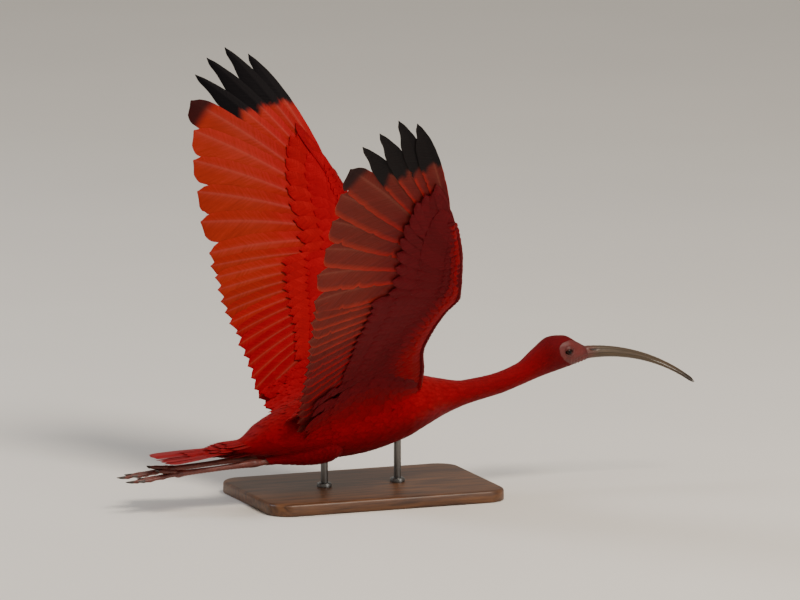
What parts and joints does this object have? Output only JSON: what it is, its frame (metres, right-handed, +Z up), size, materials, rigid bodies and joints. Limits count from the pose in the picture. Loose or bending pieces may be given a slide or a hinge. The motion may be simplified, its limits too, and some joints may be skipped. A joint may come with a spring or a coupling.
{
  "type": "flying ibis model",
  "caption": "Scarlet ibis in flight with both wings raised, a still life-size model with long curved bill and trailing legs, held by short rods on a flat base.",
  "frame": {"origin": "centre of the bounding box in plan, on the surface the base stands on", "axes": "+X the way the bird flies, +Y to the bird's left, +Z up"},
  "size_m": [0.7078, 0.5614, 0.4846],
  "materials": {
    "plumage": "scarlet feathers, the tips of the outer four primaries black",
    "bill": "olive-brown horn, satin",
    "eye": "dark brown, wet gloss",
    "skin": "scaled pinkish-brown skin",
    "rod": "dark satin steel",
    "base": "oiled walnut, satin"
  },
  "bodies": {
    "root": {"torso": "plumage", "neck": "plumage", "head": "plumage", "bill_upper": "bill", "bill_lower": "bill", "tail": "plumage", "eye_left": "eye", "eye_right": "eye", "wing_left": "plumage", "wing_right": "plumage", "thigh_left": "plumage", "thigh_right": "plumage", "leg_left": "skin", "leg_right": "skin", "foot_left": "skin", "foot_right": "skin", "stand_base": "base", "stand_rod_front": "rod", "stand_rod_rear": "rod"}
  },
  "joints": []
}
